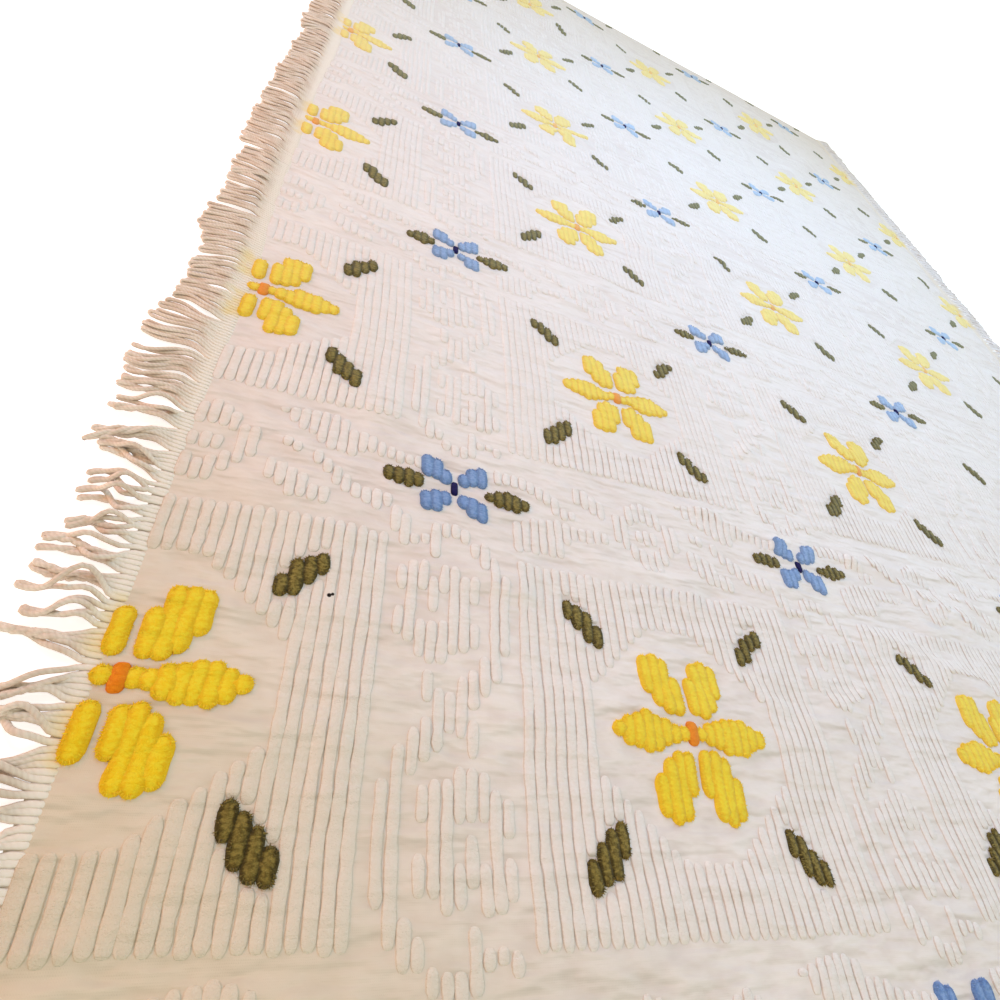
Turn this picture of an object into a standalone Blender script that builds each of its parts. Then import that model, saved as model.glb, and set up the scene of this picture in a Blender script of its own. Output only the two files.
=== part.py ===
"""Chenille bedspread: a tufted cotton spread lying open on a flat surface, with corded fringe down both long sides.

Frame: +X runs across the spread, +Y from the near hem to the far hem, +Z up.
The origin is on the underside, at the middle of the cloth. All sizes are in metres.
"""

from math import pi, sin

import bmesh
import bpy
import numpy as np

# Driving dimensions
ROW_GAUGE = 0.009525          # 3/8 inch between rows of tufting
REPEAT_ACROSS = 48 * ROW_GAUGE
REPEAT_ALONG = 0.4396
REPEATS_WIDE = 4.10           # flower columns 0 to 4, with a narrow margin outside each
REPEATS_LONG = 6.42
FIRST_ACROSS = -0.05          # the left edge, in repeats from the first flower column
FIRST_ALONG = -0.60           # the near hem, in repeats from the first flower row
WIDTH = REPEATS_WIDE * REPEAT_ACROSS
LENGTH = REPEATS_LONG * REPEAT_ALONG

MARGIN_THICK = 0.0015         # the bare ground cloth under the fringe's header
HEM_THICK = 0.0020            # two turns of ground cloth
PILE_THICK = 0.0045           # ground cloth and tufting
MARGIN_WIDE = 0.011
HEM_WIDE = 0.011
PILE_SLOPE = 0.010            # the pile's height grows over this width
FLAT_EDGE = 0.070             # folds die out over this width beside the margins and hems

HEADER_WIDE = 0.009           # stitched band of the fringe, lying on the margin
HEADER_THICK = 0.0022
HEADER_OUT = 0.001            # the band's outer face stands this far past the cloth
SEAT_GAP = 0.0003
BUNCH_PITCH = 0.0505          # one comb tooth stands for a bunch of four or five cords
BUNCH_WIDE = 0.027
BUNCH_THICK = 0.0048
BUNCH_REACH = 0.050           # length of a cord past the edge
BUNCH_DROP = 0.013            # the cords are down on the surface this far out

# Broad low swells: middle and half-widths in repeats, rise in millimetres
SWELLS = (
    # name,          across, along, half_across, half_along, rise
    ("far_left",     1.20,   5.25,  0.75,        0.62,       15.0),
    ("far_right",    2.95,   5.30,  1.15,        0.70,       13.0),
    ("near_left",    0.42,   0.40,  0.62,        0.50,        3.0),
    ("near_flower",  1.05,   0.06,  0.62,        0.34,        2.5),
    ("mid_left",     0.75,   1.75,  0.60,        0.40,        3.0),
    ("right_side",   3.55,   3.25,  0.55,        0.75,        6.0),
    ("middle_right", 2.90,   1.15,  0.70,        0.50,        4.0),
)

# Soft folds: the two ends of each crest in repeats, half-width and rise in millimetres
FOLDS = (
    # name,          across, along, to_across, to_along, half_width, rise
    ("edge_roll",     0.00,  0.89,  0.33,      0.69,     52,          6.0),
    ("near_roll",     0.00,  0.385, 0.27,      0.355,    46,          5.0),
    ("leaf_roll",     0.37,  0.40,  0.62,      0.31,     44,          3.5),
    ("flower_roll",   0.60,  0.025, 1.42,      0.005,    50,          3.5),
    ("low_roll",      0.08, -0.045, 0.44,     -0.030,    40,          3.0),
    ("hem_roll",      0.30, -0.33,  1.60,     -0.30,     60,          4.0),
    ("scroll_roll",   1.10,  2.14,  1.42,      1.98,     44,          5.0),
    ("panel_roll",    1.03,  1.68,  1.19,      1.48,     40,          3.5),
    ("petal_roll",    1.76,  1.24,  1.95,      1.05,     44,          5.0),
    ("rosette_roll",  1.93,  0.39,  2.36,      0.50,     48,          4.5),
    ("upper_roll",    1.72,  0.14,  2.14,      0.22,     46,          3.5),
    ("right_roll",    3.02,  4.25,  3.46,      4.78,     60,          8.0),
    ("border_roll",   3.38,  3.02,  3.86,      3.30,     60,          6.0),
    ("far_roll",      0.72,  4.80,  1.55,      4.88,     70,          8.0),
    ("centre_roll",   2.55,  3.38,  2.88,      3.72,     55,          4.5),
)


def across_m(repeats):
    """Distance across from the origin of a place given in repeats."""
    return (repeats - FIRST_ACROSS) * REPEAT_ACROSS - WIDTH / 2


def along_m(repeats):
    """Distance along from the origin of a place given in repeats."""
    return (repeats - FIRST_ALONG) * REPEAT_ALONG - LENGTH / 2


def edge_wave(t, phase):
    """Sideways wander of a long edge or a hem, a few millimetres, at distance t along it."""
    return 0.0030 * sin(2 * pi * t / 0.86 + phase) + 0.0016 * sin(2 * pi * t / 0.37 + 1.7 * phase)


def bell(r):
    """One at the middle, level there, and nought from r = 1 outwards."""
    return (1 - r * r) ** 2 if r < 1 else 0.0


def relief(x, y):
    """Height of the cloth's underside above the surface."""
    lift = 0.0
    for _, across, along, half_across, half_along, rise in SWELLS:
        rx = (x - across_m(across)) / (half_across * REPEAT_ACROSS)
        ry = (y - along_m(along)) / (half_along * REPEAT_ALONG)
        lift += rise * bell((rx * rx + ry * ry) ** 0.5)
    for _, across, along, to_across, to_along, half_width, rise in FOLDS:
        start = np.array([across_m(across), along_m(along)])
        run = np.array([across_m(to_across), along_m(to_along)]) - start
        here = np.array([x, y]) - start
        share = min(max(here @ run / (run @ run), 0.0), 1.0)
        lift += rise * bell(float(np.linalg.norm(here - share * run)) / (half_width / 1000))
    inside = min(WIDTH / 2 - abs(x), LENGTH / 2 - abs(y)) - MARGIN_WIDE
    s = min(max(inside / FLAT_EDGE, 0.0), 1.0)
    return lift / 1000 * s * s * (3 - 2 * s)


def thickness(in_side, in_end):
    """Thickness of the spread at its distances in from the nearest long edge and hem."""
    side = min(max((in_side - MARGIN_WIDE) / PILE_SLOPE, 0.0), 1.0)
    end = min(max((in_end - HEM_WIDE) / PILE_SLOPE, 0.0), 1.0)
    from_side = MARGIN_THICK + (PILE_THICK - MARGIN_THICK) * side
    from_end = HEM_THICK + (PILE_THICK - HEM_THICK) * end
    return min(from_side, from_end)


def section_lines(length, border, runs):
    """Distances of the section lines from one edge: close at both edges, then even steps in each run of (end, step)."""
    lines = [0.0, border, border + PILE_SLOPE]
    last = length - border - PILE_SLOPE
    for end, step in runs:
        end = min(end, last)
        count = max(1, round((end - lines[-1]) / step))
        start = lines[-1]
        lines += [start + (end - start) * (k + 1) / count for k in range(count)]
    return lines + [length - border, length]


def cotton(name, colour):
    """Matt cotton of one colour."""
    material = bpy.data.materials.new(name)
    material.use_nodes = True
    shader = material.node_tree.nodes["Principled BSDF"]
    shader.inputs["Base Color"].default_value = (*colour, 1.0)
    shader.inputs["Roughness"].default_value = 0.95
    shader.inputs["Metallic"].default_value = 0.0
    return material


def add_object(name, bm, material):
    """Make one named object of a finished mesh."""
    bmesh.ops.recalc_face_normals(bm, faces=bm.faces)
    mesh = bpy.data.meshes.new(name)
    bm.to_mesh(mesh)
    bm.free()
    mesh.materials.append(material)
    made = bpy.data.objects.new(name, mesh)
    bpy.context.scene.collection.objects.link(made)
    return made


def make_spread():
    """The tufted cloth: its underside is drawn as a grid over the folds, then thickened upwards."""
    across = section_lines(WIDTH, MARGIN_WIDE, [(0.80, 0.040), (WIDTH, 0.082)])
    along = section_lines(LENGTH, HEM_WIDE, [(1.30, 0.042), (LENGTH, 0.080)])
    bm = bmesh.new()
    bmesh.ops.create_grid(bm, x_segments=len(across) - 1, y_segments=len(along) - 1, size=0.5)
    depth = {}
    for vert in bm.verts:
        in_x = across[round((vert.co.x + 0.5) * (len(across) - 1))]
        in_y = along[round((vert.co.y + 0.5) * (len(along) - 1))]
        x, y = in_x - WIDTH / 2, in_y - LENGTH / 2
        # the outline wanders, and the wander fades from each edge to the one opposite
        share_x, share_y = in_x / WIDTH, in_y / LENGTH
        side = (1 - share_x) * edge_wave(y, 0.6) + share_x * edge_wave(y, 2.9)
        end = (1 - share_y) * edge_wave(x, 1.8) + share_y * edge_wave(x, 4.3)
        depth[vert.index] = thickness(min(in_x, WIDTH - in_x), min(in_y, LENGTH - in_y))
        vert.co = (x + side, y + end, relief(x, y))
    under = list(bm.verts)
    raised = bmesh.ops.extrude_face_region(bm, geom=list(bm.faces))
    top = [item for item in raised["geom"] if isinstance(item, bmesh.types.BMVert)]
    place = {(vert.co.x, vert.co.y): depth[vert.index] for vert in under}
    for vert in top:
        vert.co.z += place[(vert.co.x, vert.co.y)]
    return add_object("spread", bm, cotton("tufted_cotton", (0.80, 0.77, 0.73)))


def make_fringe(name, side, phase):
    """One comb: a stitched header on the margin, with bunches of cords that come down past the edge.

    side is -1 on the left and +1 on the right; distances out are measured from the cloth's edge.
    """
    count = int((LENGTH - 0.02) / BUNCH_PITCH)
    pitch = (LENGTH - 0.012) / count
    low = MARGIN_THICK + SEAT_GAP
    high = low + HEADER_THICK

    def spot(out, y, z):
        """A point at a distance out from the wandering edge."""
        return (side * (WIDTH / 2 + out) + edge_wave(y, phase), y, z)

    sections = []
    teeth = []
    for k in range(count):
        middle = -LENGTH / 2 + 0.006 + (k + 0.5 + 0.09 * sin(2.3 * k + phase)) * pitch
        wide = BUNCH_WIDE * (1 + 0.16 * sin(1.9 * k + 2 * phase))
        if k == 0:
            sections.append(-LENGTH / 2 + 0.003)
        teeth.append(len(sections))
        sections += [middle - wide / 2, middle + wide / 2]
    sections.append(LENGTH / 2 - 0.003)

    bm = bmesh.new()
    rings = []
    for y in sections:
        corners = [(-HEADER_WIDE, low), (HEADER_OUT, low), (HEADER_OUT, high), (-HEADER_WIDE, high)]
        rings.append([bm.verts.new(spot(out, y, z)) for out, z in corners])
    outer = {}
    for k, (here, there) in enumerate(zip(rings, rings[1:])):
        for c in range(4):
            d = (c + 1) % 4
            face = bm.faces.new([here[c], there[c], there[d], here[d]])
            if c == 1:
                outer[k] = face
    bm.faces.new(rings[0])
    bm.faces.new(rings[-1])
    bmesh.ops.recalc_face_normals(bm, faces=bm.faces)

    for k, tooth in enumerate(teeth):
        middle = (sections[tooth] + sections[tooth + 1]) / 2
        wide = sections[tooth + 1] - sections[tooth]
        reach = BUNCH_REACH * (1 + 0.14 * sin(2.9 * k + phase) + 0.07 * sin(7.1 * k))
        lean = 0.012 * sin(1.37 * k + 3 * phase) + 0.004 * sin(5.3 * k)
        # distance out, shift along, width and thickness at the bend and at the tips
        steps = (
            (HEADER_OUT + BUNCH_DROP, 0.2 * lean, 0.90 * wide, BUNCH_THICK),
            (reach, lean, 0.62 * wide, 0.8 * BUNCH_THICK),
        )
        face = outer[tooth]
        for out, shift, breadth, thick in steps:
            grown = bmesh.ops.extrude_discrete_faces(bm, faces=[face])
            face = grown["faces"][0]
            mean_z = sum(vert.co.z for vert in face.verts) / 4
            mean_y = sum(vert.co.y for vert in face.verts) / 4
            for vert in face.verts:
                y = middle + shift + (breadth / 2 if vert.co.y > mean_y else -breadth / 2)
                vert.co = spot(out, y, thick if vert.co.z > mean_z else 0.0)
    return add_object(name, bm, cotton(name + "_cotton", (0.66, 0.58, 0.50)))


for thing in list(bpy.data.objects):
    bpy.data.objects.remove(thing)

make_spread()
make_fringe("fringe_left", -1, 0.6)
make_fringe("fringe_right", 1, 2.9)
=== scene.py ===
import bpy
import numpy as np
from mathutils import Matrix


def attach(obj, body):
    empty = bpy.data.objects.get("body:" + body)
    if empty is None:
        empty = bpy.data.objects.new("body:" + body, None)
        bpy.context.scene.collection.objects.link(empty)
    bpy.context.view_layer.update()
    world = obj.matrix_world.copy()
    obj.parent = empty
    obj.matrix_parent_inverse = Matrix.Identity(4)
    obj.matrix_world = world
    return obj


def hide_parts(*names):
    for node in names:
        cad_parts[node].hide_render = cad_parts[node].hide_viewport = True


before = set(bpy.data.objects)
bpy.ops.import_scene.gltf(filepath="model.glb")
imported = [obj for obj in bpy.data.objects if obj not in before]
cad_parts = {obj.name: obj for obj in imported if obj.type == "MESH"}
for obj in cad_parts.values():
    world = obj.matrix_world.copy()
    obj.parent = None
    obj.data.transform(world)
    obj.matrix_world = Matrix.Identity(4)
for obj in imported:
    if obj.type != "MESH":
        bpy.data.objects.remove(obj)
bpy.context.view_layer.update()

# ----------------------------------------
# The ground cloth: one length of plain cotton sheeting with a narrow hem turned at each end.
# The tufting draws it up into soft puckers, and it lies open, with low swells and rolled
# folds that run across the pattern.
ROW_GAUGE = 0.009525  # metres, as all sizes here: the needle rows are 3/8 inch apart
ROWS = 48
REPEAT_ACROSS = ROWS * ROW_GAUGE
REPEAT_ALONG = 0.4396
FIRST_ACROSS, LAST_ACROSS = -0.05, 4.05  # the cloth's edges, in repeats of the flowers
FIRST_ALONG, LAST_ALONG = -0.60, 5.82
WIDTH = (LAST_ACROSS - FIRST_ACROSS) * REPEAT_ACROSS
LENGTH = (LAST_ALONG - FIRST_ALONG) * REPEAT_ALONG
SHEET_THICK = 0.0011
MARGIN_WIDE = 0.011
HEM_WIDE = 0.011
HEM_FOLD = 0.0007
FLAT_EDGE = 0.070
GRID_STEP = 0.0132

SWELLS = (
    # across, along, half across, half along (repeats), rise (mm)
    (1.2, 5.25, 0.75, 0.62, 15),
    (2.95, 5.3, 1.15, 0.7, 13),
    (0.42, 0.4, 0.62, 0.5, 3),
    (1.05, 0.06, 0.62, 0.34, 2.5),
    (0.75, 1.75, 0.6, 0.4, 3),
    (3.55, 3.25, 0.55, 0.75, 6),
    (2.9, 1.15, 0.7, 0.5, 4),
)
FOLDS = (
    # across, along, to across, to along (repeats), half width (mm), rise (mm)
    (0, 0.89, 0.33, 0.69, 52, 6),
    (0, 0.385, 0.27, 0.355, 46, 5),
    (0.37, 0.4, 0.62, 0.31, 44, 3.5),
    (0.6, 0.025, 1.42, 0.005, 50, 3.5),
    (0.08, -0.045, 0.44, -0.03, 40, 3),
    (0.3, -0.33, 1.6, -0.3, 60, 4),
    (1.1, 2.14, 1.42, 1.98, 44, 5),
    (1.03, 1.68, 1.19, 1.48, 40, 3.5),
    (1.76, 1.24, 1.95, 1.05, 44, 5),
    (1.93, 0.39, 2.36, 0.5, 48, 4.5),
    (1.72, 0.14, 2.14, 0.22, 46, 3.5),
    (3.02, 4.25, 3.46, 4.78, 60, 8),
    (3.38, 3.02, 3.86, 3.3, 60, 6),
    (0.72, 4.8, 1.55, 4.88, 70, 8),
    (2.55, 3.38, 2.88, 3.72, 55, 4.5),
)
CREASES = (
    # narrow soft ridges, as in the folds' table
    (1.2, 0.62, 1.44, 0.563, 20, 4.3), (1.44, 0.563, 1.73, 0.566, 20, 4.3),
    (1.73, 0.566, 2.14, 0.424, 22, 4.6), (1.4, 0.087, 1.56, 0.122, 20, 3.8),
    (1.16, 0.124, 1.26, 0.083, 20, 3.5), (1.463, 0.921, 1.627, 1.068, 22, 4.3),
    (1.8, 0.573, 2.24, 0.57, 20, 3.5), (-0.03, -0.169, 0.02, -0.181, 20, 2.7),
    (0.849, 0.383, 1.09, 0.347, 21, 4.9), (0.313, -0.15, 0.317, 0, 20, 2.4),
    (0.449, 0.3, 0.642, 0.266, 21, 3.5), (1.293, 2.017, 1.773, 2.23, 24, 4.6),
    (0.903, 2.832, 1.539, 3.211, 26, 5.1), (1.703, 0.302, 2.055, 0.199, 22, 3.8),
    (0.07, 0.532, 0.234, 0.474, 20, 3.5),
)


def across_m(repeats):
    """Metres across from the cloth's middle: repeats from the left, times the repeat's width."""
    return (repeats - FIRST_ACROSS) * REPEAT_ACROSS - WIDTH / 2


def along_m(repeats):
    """Metres along from the cloth's middle: repeats from the near end, times their length."""
    return (repeats - FIRST_ALONG) * REPEAT_ALONG - LENGTH / 2


def bell(distance):
    """A smooth hump: one minus the distance squared, all squared, and nothing past one."""
    return np.clip(1 - distance * distance, 0, None) ** 2


def eased(t):
    """A step from 0 to 1 that starts and ends gently: three t squared less two t cubed."""
    t = np.clip(t, 0, 1)
    return t * t * (3 - 2 * t)


def mottle(x, y, size, seed):
    """Smooth uneven values from -1 to 1: a seeded grid of them, eased from each to the next."""
    values = np.random.default_rng(seed).uniform(-1, 1, (128, 128))
    u, v = x / size + 41.3, y / size + 57.9  # far enough from the grid's first line on all sides
    i, j = np.floor(u).astype(int), np.floor(v).astype(int)
    a, b = eased(u - i), eased(v - j)
    i, j = i % 127, j % 127
    low = values[i, j] * (1 - a) + values[i + 1, j] * a
    high = values[i, j + 1] * (1 - a) + values[i + 1, j + 1] * a
    return low * (1 - b) + high * b


def relief(x, y):
    """How high the underside lies: the humps of the swells and folds, a fold's from the distance to
    its line, all eased out at the edges."""
    height = np.zeros(np.broadcast(x, y).shape)
    for across, along, half_across, half_along, rise in SWELLS:
        u = (x - across_m(across)) / (half_across * REPEAT_ACROSS)
        v = (y - along_m(along)) / (half_along * REPEAT_ALONG)
        height = height + rise * bell(np.hypot(u, v))
    for across, along, to_across, to_along, half_width, rise in FOLDS + CREASES:
        start = across_m(across), along_m(along)
        run = across_m(to_across) - start[0], along_m(to_along) - start[1]
        share = ((x - start[0]) * run[0] + (y - start[1]) * run[1]) / (run[0] ** 2 + run[1] ** 2)
        share = np.clip(share, 0, 1)
        off = np.hypot(x - start[0] - share * run[0], y - start[1] - share * run[1])
        height = height + rise * bell(off / (half_width / 1000))
    inside = np.minimum(WIDTH / 2 - np.abs(x), LENGTH / 2 - np.abs(y)) - MARGIN_WIDE
    return height / 1000 * eased(inside / FLAT_EDGE)


def puckers(x, y):
    """The ground's drawn-up places: uneven humps 20 to 45 mm apart and up to 2.2 mm high."""
    inside = np.minimum(WIDTH / 2 - np.abs(x), LENGTH / 2 - np.abs(y)) - MARGIN_WIDE
    rise = mottle(x, y, 0.036, 11) + 0.65 * mottle(x * 0.8, y, 0.027, 12)
    return 0.001 * np.clip(rise + 0.45, 0, None) * eased(inside / 0.03)


def edge_wave(t, phase):
    """How far a cut edge strays from straight: two long sine waves added."""
    long_wave = 0.0030 * np.sin(2 * np.pi * t / 0.86 + phase)
    return long_wave + 0.0016 * np.sin(2 * np.pi * t / 0.37 + 1.7 * phase)


def laid_out(x, y):
    """Where a point of the straight cloth lies: moved by each edge's wave, less away from it."""
    share_x, share_y = x / WIDTH + 0.5, y / LENGTH + 0.5
    moved_x = x + (1 - share_x) * edge_wave(y, 0.6) + share_x * edge_wave(y, 2.9)
    moved_y = y + (1 - share_y) * edge_wave(x, 1.8) + share_y * edge_wave(x, 4.3)
    return moved_x, moved_y


def ground_top(x, y):
    """The ground's upper face: underside, puckers, thickness, and one fold more at the hems."""
    from_end = LENGTH / 2 - np.abs(y)
    hem = HEM_FOLD * eased((HEM_WIDE + 0.001 - from_end) / 0.002) * eased(from_end / 0.0015 + 0.4)
    return relief(x, y) + puckers(x, y) + SHEET_THICK + hem


def make_piece(name, points, faces, maps, smooth=True):
    """A mesh object from its points, its faces as arrays of corner numbers, its maps by name with two
    numbers a corner, and which faces are shaded smoothly."""
    mesh = bpy.data.meshes.new(name)
    mesh.vertices.add(len(points))
    mesh.vertices.foreach_set("co", np.asarray(points, np.float32).ravel())
    corners = np.concatenate([f.ravel() for f in faces]).astype(np.int32)
    sides = np.concatenate([np.full(len(f), f.shape[1]) for f in faces])
    starts = np.concatenate([[0], np.cumsum(sides)[:-1]]).astype(np.int32)
    mesh.loops.add(len(corners))
    mesh.loops.foreach_set("vertex_index", corners)
    mesh.polygons.add(len(sides))
    mesh.polygons.foreach_set("loop_start", starts)
    mesh.polygons.foreach_set("use_smooth", np.ones(len(sides), bool) & smooth)
    mesh.update(calc_edges=True)
    for key, values in maps.items():
        layer = mesh.uv_layers.new(name=key)
        layer.uv.foreach_set("vector", np.asarray(values, np.float32).ravel())
    piece = bpy.data.objects.new(name, mesh)
    bpy.context.scene.collection.objects.link(piece)
    return piece


class Tone:
    """A value, colour or vector on its way to a shader. Sums add Math nodes, and make() any
    other."""

    def __init__(self, tree, socket=None):
        self.tree, self.socket = tree, socket

    def make(self, kind, settings=None, values=None, out=0):
        """A node of that type: its settings, then its sockets' values or links. Gives the outputs
        named."""
        made = self.tree.nodes.new(kind)
        for key, value in (settings or {}).items():
            setattr(made, key, value)
        for key, value in (values or {}).items():
            if isinstance(value, Tone):
                self.tree.links.new(value.socket, made.inputs[key])
            else:
                made.inputs[key].default_value = value
        if isinstance(out, tuple):
            return [Tone(self.tree, made.outputs[key]) for key in out]
        return Tone(self.tree, made.outputs[out])

    def sum_of(self, operation, *values):
        """A Math node on this value, or on the values given."""
        values = dict(enumerate(values or (self,)))
        return self.make("ShaderNodeMath", {"operation": operation}, values)

    def __abs__(self):
        return self.sum_of("ABSOLUTE")

    def __add__(self, other):
        return self.sum_of("ADD", self, other)

    def __sub__(self, other):
        return self.sum_of("SUBTRACT", self, other)

    def __rsub__(self, other):
        return self.sum_of("SUBTRACT", other, self)

    def __mul__(self, other):
        return self.sum_of("MULTIPLY", self, other)

    __radd__, __rmul__ = __add__, __mul__

    def kept(self, low, high):
        """This value's share of the way from low to high, held between 0 and 1."""
        values = {"Value": self, "From Min": low, "From Max": high}
        return self.make("ShaderNodeMapRange", {"interpolation_type": "SMOOTHSTEP"}, values)

    def noise(self, place, scale, detail=2.0, rough=0.5):
        """Soft random patches, so many to a metre: one number, or one for each of the three ways."""
        if isinstance(scale, tuple):
            place, scale = self.make("ShaderNodeMapping", {}, {"Vector": place, "Scale": scale}), 1.0
        values = {"Vector": place, "Scale": scale, "Detail": detail, "Roughness": rough}
        return self.make("ShaderNodeTexNoise", {}, values)

    def mixed(self, share, a, b):
        """Colour a with that share of colour b in it."""
        return self.make("ShaderNodeMix", {"data_type": "RGBA"}, {0: share, 6: a, 7: b}, out=2)

    def split(self):
        """The first two numbers of this place."""
        return self.make("ShaderNodeSeparateXYZ", {}, {"Vector": self}, out=("X", "Y"))

    def measured(self, operation, a, b):
        """A number worked out from two places: their DISTANCE, or their DOT_PRODUCT."""
        return self.make("ShaderNodeVectorMath", {"operation": operation}, {0: a, 1: b}, out="Value")

    def bump(self, height, strength, distance):
        """The surface's direction once it rises and falls with that height."""
        values = {"Height": height, "Strength": strength, "Distance": distance}
        return self.make("ShaderNodeBump", {}, values)


def dye(red, green, blue):
    """A colour given as 0 to 255 screen values, as the linear numbers a shader takes."""
    shares = np.array([red, green, blue]) / 255
    linear = np.where(shares > 0.04045, ((shares + 0.055) / 1.055) ** 2.4, shares / 12.92)
    return (*linear.tolist(), 1.0)


def new_finish(name):
    """An empty material, and the place of its surface in the object's own metres."""
    material = bpy.data.materials.new(name)
    material.use_nodes = True
    tree = material.node_tree
    tree.nodes.clear()
    start = Tone(tree)
    place = start.make("ShaderNodeTexCoord", out="Object")
    return material, start, place


def put_on(piece, material, start, shader_values):
    """The cloth shader with those values, and the material onto the piece."""
    shader = start.make("ShaderNodeBsdfPrincipled", {}, shader_values)
    output = start.tree.nodes.new("ShaderNodeOutputMaterial")
    start.tree.links.new(shader.socket, output.inputs["Surface"])
    piece.data.materials.append(material)


def grid_lines(length, edge, step):
    """Grid places along one side: even steps, three to one of the underside, and two lines more close
    to each end, where the hem is."""
    inside = length - 2 * edge
    inner = np.linspace(-length / 2 + edge, length / 2 - edge, 3 * int(round(inside / step / 3)) + 1)
    end = np.array([0.0, 0.0015, edge - 0.002])
    return np.concatenate([-length / 2 + end, inner, length / 2 - end[::-1]])


def faces_of(*corners):
    """Faces from the numbers of their corners: arrays spread to one shape and set side by side."""
    return np.stack(np.broadcast_arrays(*corners), -1).reshape(-1, len(corners))


def one_side(lines_x, lines_y, height, first):
    """One side of a sheet as a grid: its points, its faces, and its rim's points in order."""
    x, y = np.meshgrid(lines_x, lines_y, indexing="ij")
    points = np.stack([*laid_out(x, y), height(x, y)], -1).reshape(-1, 3)
    number = first + np.arange(x.size).reshape(x.shape)
    faces = faces_of(number[:-1, :-1], number[1:, :-1], number[1:, 1:], number[:-1, 1:])
    ring = np.concatenate([number[:, 0], number[-1, 1:], number[-2::-1, -1], number[0, -2:0:-1]])
    return points, faces, ring


def closed_sheet(lines_x, lines_y, top, bottom):
    """A closed sheet: a fine grid above, every third line of it below, and a strip all round that
    joins three upper steps to one lower."""
    upper, faces_up, ring = one_side(lines_x, lines_y, top, 0)
    lower, faces_down, ring_low = one_side(lines_x[::3], lines_y[::3], bottom, len(upper))
    above = [np.roll(ring, -step)[::3] for step in (3, 2, 1, 0)]
    rim = faces_of(ring_low, np.roll(ring_low, -1), *above)
    return np.concatenate([upper, lower]), [faces_up, faces_down[:, ::-1], rim]


lines_x, lines_y = grid_lines(WIDTH, MARGIN_WIDE, GRID_STEP), grid_lines(LENGTH, HEM_WIDE, GRID_STEP)
points, faces = closed_sheet(lines_x, lines_y, ground_top, relief)
flat_map = points[np.concatenate([f.ravel() for f in faces])][:, :2]
flat_map = flat_map / [WIDTH * 2.06, LENGTH * 1.02] + [0.25, 0.5]
flat_map[faces[0].size :, 0] += 0.5  # the underside beside the upper side
ground = make_piece("ground_cloth", points, faces, {"OFBake": flat_map})

TO_FAR_RIGHT = (0.36, 0.71, 0.0)  # the way along which painted light pales the dyes
FROM_CORNER = (0.62, 0.50, 0.0)  # the way out of the near left corner


def threads(start, place, way, closeness, bend):
    """The fine ridges of the threads that lie one way, a little bent."""
    values = {"Vector": place, "Scale": closeness, "Distortion": bend, "Detail": 1.0, "Detail Scale": 0.4}
    return start.make("ShaderNodeTexWave", {"bands_direction": way}, values)


def painted_warm_shade(start, place, colour):
    """Undyed cotton with painted warm shade at the near left corner: a browner cream, less away from it.
    """
    from_corner = start.measured("DOT_PRODUCT", place, FROM_CORNER)
    return start.mixed((1 - from_corner.kept(-1.20, -0.93)) * 0.62, colour, dye(224, 208, 174))


def wrinkles(start, place):
    """Two sizes of wrinkle that the ground and its tufting share, both long across the cloth."""
    return start.noise(place, (11.0, 44.0, 11.0)), start.noise(place, (26.0, 80.0, 26.0))


sheeting, start, place = new_finish("cotton_sheeting")
weave = threads(start, place, "X", 260.0, 1.2) * threads(start, place, "Y", 240.0, 1.4)
slubs = start.noise(place, (90.0, 700.0, 90.0))
drawn = start.noise(place, (34.0, 70.0, 34.0), rough=0.55)
rumpled, crinkled = wrinkles(start, place)
mellow = start.noise(place, 3.2, 3.0, 0.55)
colour = start.mixed(mellow.kept(0.35, 0.68), dye(246, 238, 231), dye(240, 230, 223))
between_threads = (1 - weave) * 0.04 + slubs.kept(0.45, 0.75) * 0.03
colour = start.mixed(between_threads, colour, dye(196, 178, 164))
# Painted shade: the hollows of the drawn-up noise darkened towards a pinkish grey, most towards the near
# left corner.
near_left_shade_share = 1 - start.measured("DOT_PRODUCT", place, TO_FAR_RIGHT).kept(-1.35, -0.55)
crease_shade = (1 - drawn).kept(0.34, 0.76) * (near_left_shade_share * 0.42 + 0.16)
# The ground also gets the painted warm shade of the near left corner.
colour = painted_warm_shade(start, place, start.mixed(crease_shade, colour, dye(216, 201, 192)))
height = weave * 0.05 + slubs * 0.08 + drawn * 2.2 + rumpled * 8.0 + crinkled * 2.4
values = {"Base Color": colour, "Roughness": 0.92, "Normal": start.bump(height, 0.8, 0.0018)}
put_on(ground, sheeting, start, values | {"Sheen Weight": 0.15, "Specular IOR Level": 0.25})
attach(ground, "root")
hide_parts("spread")

# ----------------------------------------
# The cream ribs: soft cotton yarn punched through the ground in needle rows and sheared, so
# that each run stands as one low, plush rib with rounded ends, all but touching the next.
# In the chart of one repeat, rows count across from a daisy and stitches along, 100 a repeat.
STITCHES = 100
PANEL_ROWS, PANEL_HALF = 17, 34.3  # the ribbed panel round a daisy
FIELD_ROWS, FIELD_HALF = 10, 22.5  # the bare field in it, with its corners cut off in steps
FIELD_CORNER, FIELD_STEP = 28.0, 1.95
SHORTEST_RUN = 0.8
LEAF = (
    # row, from, to
    (9, 16, 22), (10, 17, 25), (11, 19.5, 26.5), (12, 21.5, 27.5),
)
BLUE_ROW = 24
SCROLL = (
    # row, from, to: the S of the column between panels
    (19, -29, -11.5), (20, -33.5, -6), (21, -11, -3), (22, -8.5, -1), (22, 1, 7.5), (23, -7, 4.5),
    (24, -4, 4), (25, -4.5, 7), (26, 1, 8.5), (26, -7.5, -1), (27, 3, 11), (28, 6, 33.5),
    (29, 11.5, 29),
)
BLOSSOM = (
    # row, from, to: the round flower at one end of the column, turned about at the other
    (22, -17.5, -12), (22, -27.5, -21.5), (23, -27.5, -11), (24, -29.5, -10.5), (25, -17.5, -8.5),
    (25, -29, -22.5), (26, -17, -8.5), (26, -26.5, -18.5), (27, -17, -9), (27, -29.5, -22.5),
    (28, -29.5, -12), (29, -19, -13), (29, -28, -22),
)
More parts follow.
